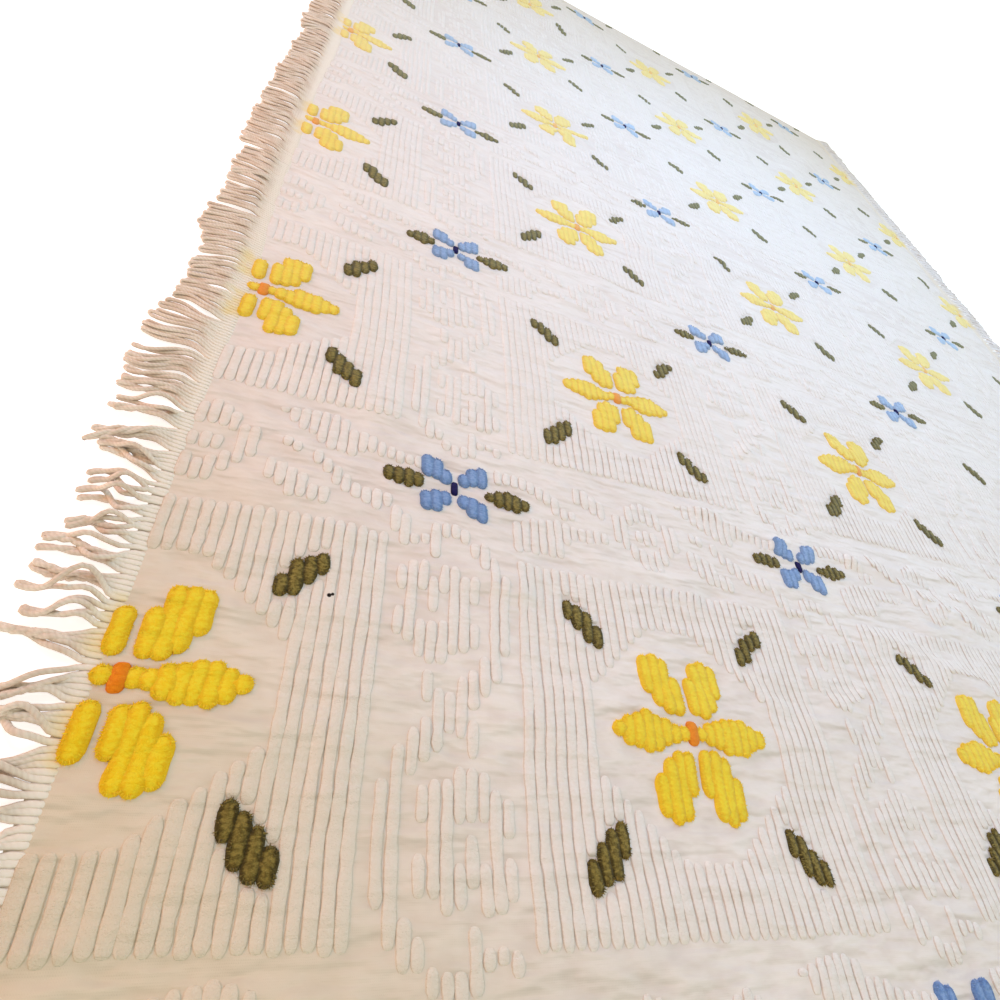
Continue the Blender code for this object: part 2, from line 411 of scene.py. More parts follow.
LINK = (
    # row, from, to: the stem from the column to the blue flower, and again turned about
    (21, -36.5, -29.5), (22, -36, -32), (23, -39, -35), (24, -40, -36), (25, -40, -36),
    (26, -39, -30.5), (27, -36, -33), (28, -35.5, -33), (29, -37, -33.5),
)
ROSETTE = (
    # rows either side, from, to
    (0, 53, 60), (0, 46, 51), (0, 38, 44), (1, 52.5, 59), (1, 46.5, 50.5), (1, 38.5, 45),
    (2, 51.5, 57.5), (2, 41, 46.5), (3, 43.5, 54), (4, 45.5, 54),
)
BORDER = (
    # row, from, to: leaves and stems of the band between panels, from one rosette to the next
    (6, 60.5, 62), (7, 58, 62.5), (8, 56.5, 63), (9, 55.5, 63.5), (10, 54, 63.5), (11, 52.5, 63.5),
    (12, 52, 62.5), (13, 52, 60), (14, 54, 60), (15, 54.5, 59.5), (16, 54, 58.5), (17, 54, 58),
    (18, 53.5, 57.5), (19, 53.5, 57), (20, 53.5, 57), (7, 50, 53.5), (8, 49.5, 53), (10, 47.5, 51.5),
    (11, 45.5, 50), (12, 43, 48), (13, 41.5, 47), (14, 40.5, 45.5), (15, 39.5, 45), (16, 39, 45),
    (17, 40, 44), (6, 41, 47.5), (7, 39.5, 47), (8, 37.5, 46), (9, 37.5, 45), (10, 37, 42),
    (11, 37, 42), (18, 35, 41.5), (19, 32, 40), (29, 54.5, 59), (30, 54.8, 59), (31, 54.8, 59.2),
    (32, 54.5, 59), (33, 54, 58.5), (34, 52.5, 57.5), (35, 52, 57), (36, 49.5, 55), (37, 48.5, 52.5),
    (38, 48.5, 52), (31, 36.5, 45), (32, 36.8, 46), (33, 37, 47), (34, 37.2, 47.6), (35, 37.4, 48),
    (36, 37.5, 48), (37, 41.5, 47.5), (38, 43, 47.5), (39, 43, 47), (40, 43, 47.5), (41, 43, 47.5),
    (42, 43.5, 47.5), (39, 54.5, 60), (40, 53, 59.5), (41, 52, 58.5), (42, 51, 57), (44, 45.5, 52.5),
    (45, 44, 51),
)


def less(runs, gap):
    """Runs with one stretch taken out of each, and what is left where it can be tufted."""
    start, end = gap
    pieces = []
    for low, high in runs:
        pieces += [(low, min(high, start)), (max(low, end), high)]
    return [(low, high) for low, high in pieces if high - low > SHORTEST_RUN]


def turned(rows):
    """The same motif turned half round about the middle of the column."""
    return [(2 * BLUE_ROW - row, -high, -low) for row, low, high in rows]


white_runs = []
for row in range(-PANEL_ROWS, PANEL_ROWS + 1):
    runs = [(-PANEL_HALF, PANEL_HALF)]
    if abs(row) <= FIELD_ROWS:
        field = min(FIELD_HALF, FIELD_CORNER - FIELD_STEP * abs(row))
        runs = less(runs, (-field, field))
    for leaf_row, low, high in LEAF:
        if abs(row) == leaf_row:
            runs = less(less(runs, (low, high)), (-high, -low))
    white_runs += [(row, low, high) for low, high in runs]
white_runs += SCROLL
white_runs += list(BLOSSOM) + turned(BLOSSOM) + list(LINK) + turned(LINK) + list(BORDER)
for row, low, high in ROSETTE:
    white_runs += [(side * row, low, high) for side in ((1, -1) if row else (1,))]

PILE_SINK = 0.0007  # how far the foot of a rib goes into the ground
FROM_SIDE, FROM_HEM = 0.0090, 0.0150  # how near the edges the tufting comes
SHORTEST_RIB = 0.004
LOW_PROFILE = (
    # share of the half width, height (m): flat on top, steep at the sides
    (-1.0, -PILE_SINK), (-0.92, 0.0008), (-0.72, 0.0014),
    (0.72, 0.0014), (0.92, 0.0008), (1.0, -PILE_SINK),
)
PLAIN_PROFILE = ((-1.0, -PILE_SINK), (-0.84, 0.0010), (0.0, 0.0016), (0.84, 0.0010), (1.0, -PILE_SINK))
ROUND_PROFILE = (
    (-1.0, -PILE_SINK), (-0.96, 0.0012), (-0.78, 0.0028), (0.0, 0.0031),
    (0.78, 0.0028), (0.96, 0.0012), (1.0, -PILE_SINK),
)
ROUND_END = (
    # share of the end's length, share of the full width, share of the full height
    (0.16, 0.60, 0.40), (0.52, 0.90, 0.80),
)
SHORT_END = ((0.36, 0.74, 0.55),)
FRAYED_END = ((0.10, 0.44, 0.44), (0.42, 0.80, 0.84))


def all_over(runs, seed, uneven_by):
    """Every run of one yarn: the repeat's runs set out at each repeat, trimmed at the cloth's edges,
    with slightly uneven ends. Gives where each starts across, and its two ends along."""
    chart = np.array(runs, float)
    columns, lines = np.meshgrid(np.arange(-1, 6), np.arange(-2, 7), indexing="ij")
    x = across_m(columns.reshape(-1, 1) + chart[:, 0] / ROWS).ravel()
    low = along_m(lines.reshape(-1, 1) + chart[:, 1] / STITCHES).ravel()
    high = along_m(lines.reshape(-1, 1) + chart[:, 2] / STITCHES).ravel()
    uneven = np.random.default_rng(seed).uniform(-uneven_by, uneven_by, (2, len(x)))
    low = np.maximum(low + uneven[0], -LENGTH / 2 + FROM_HEM)
    high = np.minimum(high + uneven[1], LENGTH / 2 - FROM_HEM)
    kept = (np.abs(x) < WIDTH / 2 - FROM_SIDE) & (high - low > SHORTEST_RIB)
    return x[kept], low[kept], high[kept]


def corners_of(*places):
    """The corners of many faces as one list of pairs, every pair spread to one shape first."""
    pairs = np.stack([np.stack(np.broadcast_arrays(u, v), -1) for u, v in places], -2)
    return pairs.reshape(-1, 2)


def map_cells(count, tall):
    """A square map's cells for so many things, that many times as tall as wide: where each starts
    across and up, and their width and height."""
    per_line = int(np.ceil(np.sqrt(count / tall)))
    wide, high = 1 / per_line, 1 / int(np.ceil(count / per_line))
    order = np.arange(count)[:, None]
    return (order % per_line) * wide, (order // per_line) * high, wide, high


def ribs(name, runs, profile, end, end_length, half, lift, step, nubby, seed):
    """All the ribs of one yarn as one mesh: a profile carried along each run in whole rings, smaller
    rings towards its ends and a point at each end. Width and height swell by smooth uneven values,
    the width by the share called nubby. Half the width may differ from rib to rib."""
    x, low, high = runs
    ring_at, ring_wide, ring_high = np.array(end).T
    less_whole = len(end)
    length = high - low
    cap = np.minimum(end_length, 0.46 * length)
    spans = np.maximum(1, np.ceil((length - 2 * cap) / step)).astype(int)
    rings = spans + 1 + 2 * less_whole
    first = np.concatenate([[0], np.cumsum(rings)[:-1]])
    run = np.repeat(np.arange(len(x)), rings)
    order = np.arange(rings.sum()) - first[run]
    last = rings[run] - 1
    from_end = np.minimum(order, last - order)
    at_end = from_end < less_whole
    entry = np.minimum(from_end, less_whole - 1)
    whole = cap[run] + (length - 2 * cap)[run] * (order - less_whole) / spans[run]
    inwards = cap[run] * ring_at[entry]
    ended = np.where(order < last / 2, inwards, length[run] - inwards)
    along = np.where(at_end, ended, whole)
    y_ring = low[run] + along
    own = np.random.default_rng(seed).uniform(0.97, 1.03, (2, len(x)))[:, run]
    swollen = 1 + nubby * mottle(x[run] * 9, y_ring, 0.0075, seed + 1)
    across = np.broadcast_to(half, len(x))[run] * own[0] * swollen
    across = across * np.where(at_end, ring_wide[entry], 1.0)
    rise = lift * own[1] * (1 + 0.08 * mottle(x[run] * 7, y_ring, 0.016, seed + 2))
    rise = rise * np.where(at_end, ring_high[entry], 1.0)
    x_ring = x[run] + 0.0007 * mottle(x[run] * 11, y_ring, 0.032, seed + 3)
    shape = np.array(profile)
    sides = len(shape)
    px = x_ring[:, None] + across[:, None] * shape[:, 0]
    py = np.repeat(y_ring[:, None], sides, 1)
    pz = ground_top(px, py) + np.where(shape[:, 1] > 0, shape[:, 1] * rise[:, None], shape[:, 1])
    end_x, end_y = np.concatenate([x, x]), np.concatenate([low, high])
    end_z = ground_top(end_x, end_y) - 0.0003
    mx, my = laid_out(np.concatenate([px.ravel(), end_x]), np.concatenate([py.ravel(), end_y]))
    points = np.stack([mx, my, np.concatenate([pz.ravel(), end_z])], -1)
    side = np.arange(sides)
    after = (side + 1) % sides
    ring = np.flatnonzero(order < last)[:, None]
    near, far = first[:, None], (first + rings - 1)[:, None]
    near_tip = len(order) * sides + np.arange(len(x))[:, None]
    far_tip = near_tip + len(x)
    here, near_ring, far_ring = ring * sides, near * sides, far * sides
    quads = faces_of(here + side, here + after, here + sides + after, here + sides + side)
    near_fan = faces_of(near_ring + after, near_ring + side, near_tip)
    fans = np.concatenate([near_fan, faces_of(far_ring + side, far_ring + after, far_tip)])
    # Two maps: the share over the rib with the metres along it, and a tidy cell for each rib.
    u, v = side / (sides - 1), y_ring
    u_after, crown = u[after], np.full(sides, 0.5)
    pile = [
        corners_of((u, v[ring]), (u_after, v[ring]), (u_after, v[ring + 1]), (u, v[ring + 1])),
        corners_of((u_after, v[near]), (u, v[near]), (crown, low[:, None])),
        corners_of((u, v[far]), (u_after, v[far]), (crown, high[:, None])),
    ]
    cell_u, cell_v, cell_wide, cell_high = map_cells(len(x), 6)
    up = cell_v[run, 0] + cell_high * (0.08 + 0.84 * along / length[run])
    b, b_after = cell_wide * 0.92 * side / sides, cell_wide * 0.92 * (side + 1) / sides
    cell_u = cell_u + cell_wide * 0.04
    left, right, centre = cell_u + b, cell_u + b_after, cell_u + (b + b_after) / 2
    cell = run[ring[:, 0]]
    b, b_after = left[cell], right[cell]
    bake = [
        corners_of((b, up[ring]), (b_after, up[ring]), (b_after, up[ring + 1]), (b, up[ring + 1])),
        corners_of((right, up[near]), (left, up[near]), (centre, cell_v + cell_high * 0.02)),
        corners_of((left, up[far]), (right, up[far]), (centre, cell_v + cell_high * 0.98)),
    ]
    maps = {"Pile": np.concatenate(pile), "OFBake": np.concatenate(bake)}
    smooth = np.tile(side < sides - 1, len(quads) // sides + len(fans) // sides)
    piece = make_piece(name, points, [quads, fans], maps, smooth)
    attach(piece, "root")
    return piece


def chenille(
    piece, name, pale, deep, root, seam_shade, seam_from, painted_light_pale=None, coarse=0.0013, sheen=0.10, marks=()
):
    """Sheared cotton pile: yarn colour in uneven clumps of a few millimetres, painted shade in a broken
    line on a rib's sides where it meets the next, and short fibres. Dyed yarn is painted paler by the
    given share towards the far end, as in brighter light, and undyed yarn gets painted warm shade at
    the near left corner."""
    material, start, place = new_finish(name)
    over, _ = start.make("ShaderNodeUVMap", {"uv_map": "Pile"}, out="UV").split()
    fibres = start.noise(place, (900.0, 1300.0, 900.0), rough=0.6)
    tufts = start.noise(place, (300.0, 420.0, 300.0), rough=0.55)
    lots = start.noise(place, 7.0)
    rumpled, crinkled = wrinkles(start, place)
    side = abs(over * 2.0 - 1.0) + (tufts - 0.5) * 0.30
    colour = start.mixed(tufts.kept(0.32, 0.68) * 0.60 + fibres.kept(0.35, 0.75) * 0.35, pale, deep)
    colour = start.mixed(lots.kept(0.40, 0.75) * 0.22, colour, deep)
    # Painted shade: the rib's sides darkened towards the colour given as root, in a broken line where it
    # meets the next rib.
    colour = start.mixed(side.kept(seam_from, seam_from + 0.20) * seam_shade, colour, root)
    if painted_light_pale:
        # Painted light: dyed yarn paler towards the far right, as in brighter light.
        toward_far_right = start.measured("DOT_PRODUCT", place, TO_FAR_RIGHT)
        colour = start.mixed(toward_far_right.kept(-1.28, 0.30) * painted_light_pale[0], colour, painted_light_pale[1])
    else:
        # Undyed yarn gets painted warm shade at the near left corner.
        colour = painted_warm_shade(start, place, colour)
    for spot, size, tint in marks:
        away = start.measured("DISTANCE", place, spot)
        colour = start.mixed(1 - away.kept(size * 0.7, size), colour, tint)
    height = tufts + fibres * 0.9 + rumpled * (0.0125 / coarse) + crinkled * (0.0036 / coarse)
    values = {"Base Color": colour, "Roughness": 0.95, "Normal": start.bump(height, 0.8, coarse)}
    values |= {"Sheen Weight": sheen, "Sheen Roughness": 0.5, "Specular IOR Level": 0.10}
    put_on(piece, material, start, values)


CREAM, CREAM_DEEP = dye(248, 241, 235), dye(243, 233, 225)
CREAM_HALF, CREAM_END = 0.00484, 0.0068  # half a rib's width, and the length of its rounded end
SPECK = (-0.7916, -1.0647)  # one small dark fleck caught on a rib
speck_high = float(ground_top(*SPECK)) + 0.0015
specks = [
    ((*SPECK, speck_high), 0.0021, dye(34, 28, 26)),
    ((SPECK[0] + 0.0026, SPECK[1] + 0.0012, speck_high), 0.0016, dye(44, 36, 32)),
]
CREAM_PARTS = (
    # name, from, to (repeats along), profile, end, lift, ring step, nubby, seed, the colour of the painted
    # seam shade, its share, and where on the side it starts
    ("near", -1.0, 0.80, LOW_PROFILE, ROUND_END, 0.95, 0.0095, 0.20, 31, dye(170, 142, 121), 0.36, 0.32),
    ("middle", 0.80, 2.60, LOW_PROFILE, SHORT_END, 0.76, 0.0150, 0.18, 35, dye(204, 188, 177), 0.15, 0.34),
    ("far", 2.60, 7.0, PLAIN_PROFILE, SHORT_END, 0.36, 0.0190, 0.10, 41, dye(232, 224, 218), 0.20, 0.72),
)
x, low, high = all_over(white_runs, 21, 0.0013)
line = (low + high) / 2
for part, since, until, profile, end, *sizes, root, seam_shade, seam_from in CREAM_PARTS:
    chosen = (line >= along_m(since)) & (line < along_m(until))
    runs = x[chosen], low[chosen], high[chosen]
    name = "cream_ribs_" + part
    piece = ribs(name, runs, profile, end, CREAM_END, CREAM_HALF, *sizes)
    chenille(
        piece, name + "_pile", CREAM, CREAM_DEEP, root, seam_shade, seam_from,
        coarse=0.0010, sheen=0.15, marks=specks if part == "near" else (),
    )

# ----------------------------------------
# The yellow daisies: six petals in bright yellow cotton yarn round one short run of orange,
# tufted through the ground like the ribs, but left higher and more ragged at the ends.
DIAGONAL_PETAL = ((1, 3.4, 12.0), (2, 3.2, 16.0), (3, 4.6, 16.6), (4, 7.6, 15.8))
SIDE_PETAL = ((1, 1.5), (2, 2.0), (3, 2.8), (4, 3.6), (5, 4.0), (6, 3.7), (7, 2.9), (8, 1.7))
TUFTED_TO = along_m(1.60)  # loose tufts stick out of the motifs up to here
TUFT_SIZES = (
    # least, most (mm): the tip's shift and reach, thickness, height, the tip's rise
    (-1, 1), (0.2, 1.7), (1.1, 2.1), (0.5, 2.2), (-0.6, 0.8),
)


def four_ways(rows):
    """A motif's rows in the four quarters round its flower: turned over across, along and both."""
    return [
        (s * row, min(t * low, t * high), max(t * low, t * high))
        for row, low, high in rows
        for s, t in ((1, 1), (1, -1), (-1, 1), (-1, -1))
    ]


def loose_tufts(name, runs, like, half, spacing, seed):
    """The ragged outline of a motif: small pointed tufts all round each run, except into the next
    one. The outline, two straight sides and two half circles, is walked by its length, and each
    tuft is a thin pyramid on a three-cornered foot."""
    x, low, high = (values[runs[2] < TUFTED_TO] for values in runs)
    random = np.random.default_rng(seed)
    straight = np.maximum(high - low - 2 * half, 0)
    round_it = 2 * straight + 2 * np.pi * half
    each = (round_it / spacing).astype(int)
    run = np.repeat(np.arange(len(x)), each)
    order = np.arange(each.sum()) - np.concatenate([[0], np.cumsum(each)[:-1]])[run]
    walked = round_it[run] * (order + random.uniform(0.1, 0.9, len(run))) / each[run]
    side, bow = straight[run], np.pi * half
    angle = np.clip(walked - side, 0, bow) / half + np.clip(walked - 2 * side - bow, 0, bow) / half
    up = np.clip(walked, 0, side) - np.clip(walked - side - bow, 0, side) - side / 2
    out = np.stack([np.cos(angle), np.sin(angle)], -1)
    along = np.stack([-out[:, 1], out[:, 0]], -1)
    rim = np.stack([x[run], (low + high)[run] / 2 + up], -1) + half * 0.94 * out
    least, most = np.array(TUFT_SIZES).T[:, :, None]
    shift, reach, thick, lift, rise = random.uniform(least, most, (5, len(run))) / 1000
    tip = rim + out * reach[:, None] + along * shift[:, None]
    covered = np.zeros(len(run), bool)
    for part in np.array_split(np.arange(len(run)), 1 + len(run) // 4000):
        beside = np.abs(tip[part, :1] - x) < half * 0.9
        covered[part] = (beside & (tip[part, 1:] > low + 0.003) & (tip[part, 1:] < high - 0.003)).any(1)
    foot = rim - out * 0.0017
    corners = [foot - along * thick[:, None] / 2, foot + along * thick[:, None] / 2, foot, tip]
    heights = [lift, lift, lift + thick, np.maximum(lift + rise, 0.0002)]
    points = []
    for place, height in zip(corners, heights):
        px, py = place[~covered].T
        points.append(np.stack([*laid_out(px, py), ground_top(px, py) + height[~covered]], -1))
    points = np.stack(points, 1).reshape(-1, 3)
    first = 4 * np.arange(len(points) // 4)[:, None, None]
    faces = (first + np.array([[0, 2, 1], [0, 1, 3], [1, 2, 3], [2, 0, 3]])).reshape(-1, 3)
    grid = int(np.ceil(np.sqrt(len(first))))
    cell = np.stack([first[:, 0, 0] // 4 % grid, first[:, 0, 0] // 4 // grid], -1)[:, None, None]
    spots = np.array([[[0.1, 0.1], [0.4, 0.1], [0.1, 0.4]], [[0.6, 0.1], [0.9, 0.1], [0.6, 0.4]]])
    spots = np.concatenate([spots, spots + [0.0, 0.5]])
    maps = {"Pile": np.full((len(faces) * 3, 2), 0.5), "OFBake": ((cell + spots) / grid).reshape(-1, 2)}
    piece = make_piece(name, points, [faces], maps, smooth=False)
    piece.data.materials.append(like.data.materials[0])
    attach(piece, "root")
    return piece


yellow_runs = four_ways(DIAGONAL_PETAL)
yellow_runs += [(s * row, -half, half) for row, half in SIDE_PETAL for s in (1, -1)]
yellow_laid = all_over(yellow_runs, 22, 0.0018)
yellow = ribs(
    "yellow_petals", yellow_laid, ROUND_PROFILE, FRAYED_END,
    end_length=0.0078, half=0.0077, lift=1.0, step=0.0048, nubby=0.10, seed=51,
)
chenille(
    yellow, "yellow_chenille", dye(255, 232, 54), dye(253, 210, 10), dye(236, 174, 0),
    seam_shade=0.46, seam_from=0.10, painted_light_pale=(0.82, dye(255, 240, 180)),
)
yellow_tufts = loose_tufts("yellow_tufts", yellow_laid, yellow, half=0.0072, spacing=0.0012, seed=52)
orange = ribs(
    "orange_centres", all_over([(0, -2.4, 2.4)], 23, 0.0008), ROUND_PROFILE, ROUND_END,
    end_length=0.0052, half=0.0056, lift=1.05, step=0.0050, nubby=0.12, seed=61,
)
chenille(
    orange, "orange_chenille", dye(250, 150, 26), dye(238, 128, 8), dye(214, 104, 6),
    seam_shade=0.4, seam_from=0.30, painted_light_pale=(0.80, dye(255, 224, 156)),
)

# ----------------------------------------
# The small blue flowers: four petals in mid blue cotton yarn with a navy stitch between
# them, tufted like the daisies, in the middle of the columns.
BLUE_STITCH = 50.0
BLUE_PETAL = ((1, 1.0, 5.0), (2, 1.5, 7.5), (3, 2.0, 8.0))
blue_runs = four_ways(BLUE_PETAL)
blue_runs = [(BLUE_ROW + row, BLUE_STITCH + low, BLUE_STITCH + high) for row, low, high in blue_runs]
blue_laid = all_over(blue_runs, 24, 0.0014)
blue = ribs(
    "blue_petals", blue_laid, ROUND_PROFILE, FRAYED_END,
    end_length=0.0068, half=0.0068, lift=0.96, step=0.0052, nubby=0.12, seed=71,
)
chenille(
    blue, "blue_chenille", dye(148, 177, 222), dye(93, 135, 196), dye(80, 115, 170),
    seam_shade=0.55, seam_from=0.10, painted_light_pale=(0.66, dye(214, 234, 248)),
)
blue_tufts = loose_tufts("blue_tufts", blue_laid, blue, half=0.0063, spacing=0.0014, seed=72)
navy_runs = [(BLUE_ROW, BLUE_STITCH - 2.0, BLUE_STITCH + 2.0)]
navy = ribs(
    "navy_centres", all_over(navy_runs, 25, 0.0006), ROUND_PROFILE, ROUND_END,
    end_length=0.0050, half=0.0040, lift=0.95, step=0.0050, nubby=0.10, seed=81,
)
chenille(
    navy, "navy_chenille", dye(44, 42, 98), dye(26, 24, 72), dye(14, 12, 44),
    seam_shade=0.5, seam_from=0.40, sheen=0.05,
)

# ----------------------------------------
# The leaves: olive cotton yarn, four to a panel and one either side of each blue flower. The
# far pair of a panel is a little shorter, and they all get thinner towards the right.
BLUE_LEAF = (
    # row from the blue flower, half its length
    (-7, 2), (-6, 2.8), (-5, 3), (-4, 2.2), (4, 1.2), (5, 2.4), (6, 3), (7, 2.8), (8, 1.8),
)
TRIM = 0.5  # off each end of the far pair, in stitches
LEAF_SHORTER, LEAF_THINNER = 0.0032, 0.0012
olive_runs = four_ways(LEAF)
olive_runs = [(row, low + TRIM * (low > 0), high - TRIM * (low > 0)) for row, low, high in olive_runs]
olive_runs += [(BLUE_ROW + row, BLUE_STITCH - half, BLUE_STITCH + half) for row, half in BLUE_LEAF]
x, low, high = all_over(olive_runs, 26, 0.0022)
thinner = eased((x + 0.15 * (low + high) / 2 + 0.85) / 0.50)
olive_laid = (x, low + LEAF_SHORTER * thinner, high - LEAF_SHORTER * thinner)
olive = ribs(
    "olive_leaves", olive_laid, ROUND_PROFILE, FRAYED_END,
    end_length=0.0082, half=0.0063 - LEAF_THINNER * thinner, lift=0.98, step=0.0054, nubby=0.15, seed=91,
)
chenille(
    olive, "olive_chenille", dye(160, 141, 72), dye(80, 66, 22), dye(54, 43, 12),
    seam_shade=0.80, seam_from=0.12, painted_light_pale=(0.56, dye(167, 172, 140)), coarse=0.0016,
)
olive_tufts = loose_tufts("olive_tufts", olive_laid, olive, half=0.0059, spacing=0.0014, seed=92)

# ----------------------------------------
# The fringes: one long two-ply cord laid to and fro along each long side. Its runs are sewn
# side by side onto the cloth's margin and hang off the edge as soft loops, which clump,
# cross, droop and turn round themselves.
CORD_HALF = 0.0019
LEG_PITCH = 0.0042  # from one sewn-down run to the next
LOOP_PITCH = 2 * LEG_PITCH
HEADER_IN = 0.0108  # how far onto the cloth the cord is sewn
HEADER_HALF_THICK = 0.0008
LOOP_REACH = 0.0535
TIP_ROUND = 0.0026
PLY_TURN = 0.0072  # the cord's length in which its two plies turn once


def loop_lines(leg_steps, tip_steps, seed):
    """Every loop's line, all at once: out along one leg, round the tip and back along the other.
    Loops gather in bunches well before the tip, lean by a smooth uneven amount and bow to and fro
    once. Past the edge a loop's legs close up, or part by a hump, and turn round each other more and
    more."""
    random = np.random.default_rng(seed)
    count = int(round((LENGTH - 0.012) / LOOP_PITCH))
    root = (np.arange(count) - (count - 1) / 2) * LOOP_PITCH
    open_end = eased((along_m(0.84) - root) / 0.26)  # the near end hangs more open and tangled

    def uneven(size, more):
        """One smooth uneven value from -1 to 1 for each loop."""
        return mottle(root, 0 * root + more, size, seed + more)

    own = random.uniform(-1, 1, (6, count))
    chance = random.random((5, count))
    bunch = np.cumsum((0.15 + 0.27 * open_end) * (0.4 + 1.2 * chance[4])).astype(int)
    middle = (np.bincount(bunch, root) / np.maximum(np.bincount(bunch), 1))[bunch]
    shared = random.uniform(-1, 1, (2, count + 1))[:, bunch]
    reach = LOOP_REACH + 0.006 * uneven(0.075, 1) + 0.003 * own[0]
    reach = reach + (0.005 + 0.003 * open_end) * shared[1]
    lean = -0.001 + 0.012 * uneven(0.075, 2) + 0.004 * uneven(0.020, 3) + 0.002 * own[1]
    lean = lean + shared[0] * (0.004 + 0.013 * open_end)
    gather = (middle - root) * (0.10 + 0.65 * open_end)
    crossing = chance[0] < 0.02 + 0.10 * open_end
    lean = np.where(crossing, lean + 0.018 * np.sign(own[3]), lean)
    sway = 0.0034 * uneven(0.040, 5) + 0.0014 * own[4]
    hump = 0.0016 + 0.0044 * chance[2] * (0.4 + open_end)
    parted = np.where(chance[1] < 0.04 + 0.36 * open_end, hump, 0.0)
    turns = np.where(parted > 0, 1.0, 2.0 + np.round(1.5 + 1.5 * own[5])) * (0.08 + 0.92 * open_end)
    late = 0.12 + 0.20 * random.random(count)
    layer = np.where(crossing, 1.7, (np.arange(count) % 2) * 0.8 + 0.35 * (1 + uneven(0.020, 6)))
    header = np.array([-HEADER_IN, -HEADER_IN + 0.0022, -0.0040, 0.0016])
    shares = np.linspace(0.0, 1.0, leg_steps + 1)[1:]
    free = 0.0016 + shares * (reach - TIP_ROUND - 0.0016)[:, None]
    legs = np.concatenate([np.broadcast_to(header, (count, 4)), free], 1)
    turn = np.linspace(0, np.pi, tip_steps + 2)[1:-1]
    tip_out = (reach - TIP_ROUND)[:, None] + TIP_ROUND * np.sin(turn)
    out = np.concatenate([legs, tip_out, legs[:, ::-1]], 1)
    wing = np.concatenate([-np.ones(legs.shape[1]), -np.cos(turn), np.ones(legs.shape[1])])
    share = np.clip(out / reach[:, None], 0, 1)
    closed = (0.00200 - 0.00095 * open_end)[:, None]
    closing = eased((share - 0.01) / 0.20)
    apart = LEG_PITCH / 2 * (1 - closing) + closed * closing
    apart = apart + parted[:, None] * bell((share - 0.36) / 0.42)
    angle = np.pi * turns[:, None] * eased((share - late[:, None]) / (1 - late[:, None]))
    drawn_in = 1 - (1 - np.clip(share / 0.42, 0, 1)) ** 2
    bend = lean[:, None] * share**1.35 + gather[:, None] * drawn_in
    bend = bend + sway[:, None] * np.sin(2 * np.pi * share)
    wander = 0.0006 * mottle(out + root[:, None] * 3, root[:, None] * 5 + wing, 0.011, seed + 7)
    wander = wander * eased(share * 4)
    y = root[:, None] + bend + wander + wing * apart * np.cos(angle)
    over_edge = eased((out + 0.006) / 0.010)
    inner = eased((out + HEADER_IN + 0.0010) / 0.0050)
    thick = HEADER_HALF_THICK * (0.35 + 0.65 * inner)
    cord = CORD_HALF * (1 + 0.15 * open_end)[:, None]
    thick = thick + (cord - thick) * over_edge
    wide = LEG_PITCH / 2 * (0.80 + 0.34 * inner)
    wide = wide + (cord - wide) * over_edge
    centre = SHEET_THICK + (2 * inner - 1) * thick
    centre = centre + (cord + 0.0002 - centre) * over_edge
    raised = layer[:, None] * 2 * CORD_HALF * eased(share * 3.0)
    raised = raised * (1 - 0.30 * eased((share - 0.55) / 0.45))
    z = centre + raised + apart * (1 + wing * np.sin(angle)) * closing
    return out, y, z, wide, thick


